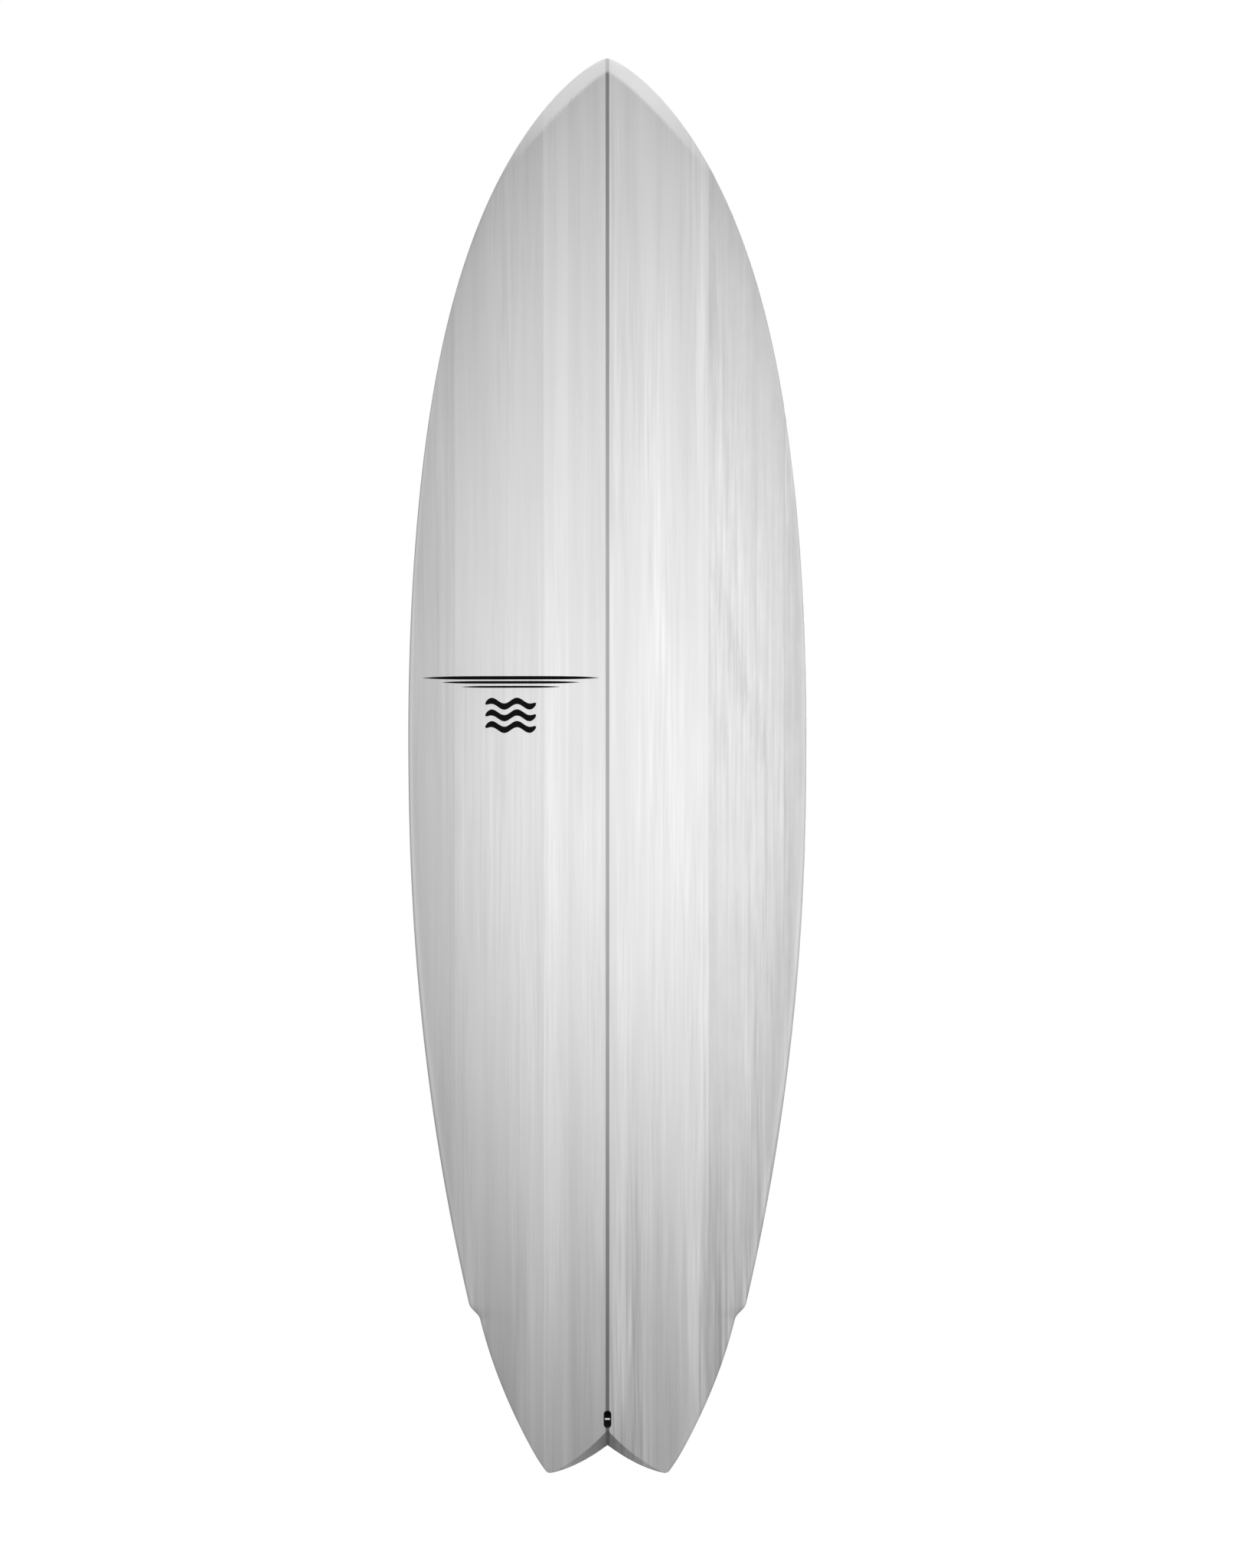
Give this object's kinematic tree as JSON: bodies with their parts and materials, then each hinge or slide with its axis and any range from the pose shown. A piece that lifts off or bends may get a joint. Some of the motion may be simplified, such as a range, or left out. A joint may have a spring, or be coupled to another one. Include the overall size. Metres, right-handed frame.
{
  "type": "shortboard surfboard",
  "caption": "Swallow-tail shortboard with a foam core, stringer, wood veneer skin, leash plug and fins that slide out of their boxes.",
  "frame": {"origin": "on the stringer's bottom face, half-way along the board, where the rocker is lowest", "axes": "+Z along the stringer from the tail tips to the nose, +X across the board to the right as seen from the deck side, -Y out of the deck, +Y out of the bottom, where the fins are"},
  "size_m": [0.5332, 0.2185, 1.8796],
  "materials": {
    "foam": "matte",
    "dense_foam": "matte",
    "stringer_wood": "gloss",
    "deck_veneer": "gloss",
    "bottom_veneer": "gloss",
    "black_plastic": "satin",
    "stainless_steel": "satin",
    "fin_laminate": "gloss"
  },
  "bodies": {
    "board": {"foam_core_left": "foam", "foam_core_right": "foam", "fin_block_left": "dense_foam", "fin_block_right": "dense_foam", "stringer": "stringer_wood", "deck_plank_edge_left": "deck_veneer", "deck_plank_middle_left": "deck_veneer", "deck_plank_inner_left": "deck_veneer", "deck_plank_inner_right": "deck_veneer", "deck_plank_middle_right": "deck_veneer", "deck_plank_edge_right": "deck_veneer", "bottom_plank_outer_left": "bottom_veneer", "bottom_plank_inner_left": "bottom_veneer", "bottom_plank_inner_right": "bottom_veneer", "bottom_plank_outer_right": "bottom_veneer", "fin_box_left": "black_plastic", "grub_screw_left_front": "stainless_steel", "grub_screw_left_rear": "stainless_steel", "fin_box_right": "black_plastic", "grub_screw_right_front": "stainless_steel", "grub_screw_right_rear": "stainless_steel", "fin_box_centre": "black_plastic", "grub_screw_centre_front": "stainless_steel", "grub_screw_centre_rear": "stainless_steel", "leash_plug_cup": "black_plastic", "leash_plug_bar": "stainless_steel"},
    "left_fin": {"fin_left": "fin_laminate"},
    "right_fin": {"fin_right": "fin_laminate"},
    "centre_fin": {"fin_centre": "fin_laminate"}
  },
  "joints": [
    {"name": "fin_left_slide", "type": "slide", "parent": "board", "child": "left_fin", "axis": [-0.1044, 0.9919, -0.0729], "range_m": [0, 0.02]},
    {"name": "fin_right_slide", "type": "slide", "parent": "board", "child": "right_fin", "axis": [0.1044, 0.9919, -0.0729], "range_m": [0, 0.02]},
    {"name": "fin_centre_slide", "type": "slide", "parent": "board", "child": "centre_fin", "axis": [0, 0.9938, -0.1112], "range_m": [0, 0.02]}
  ]
}
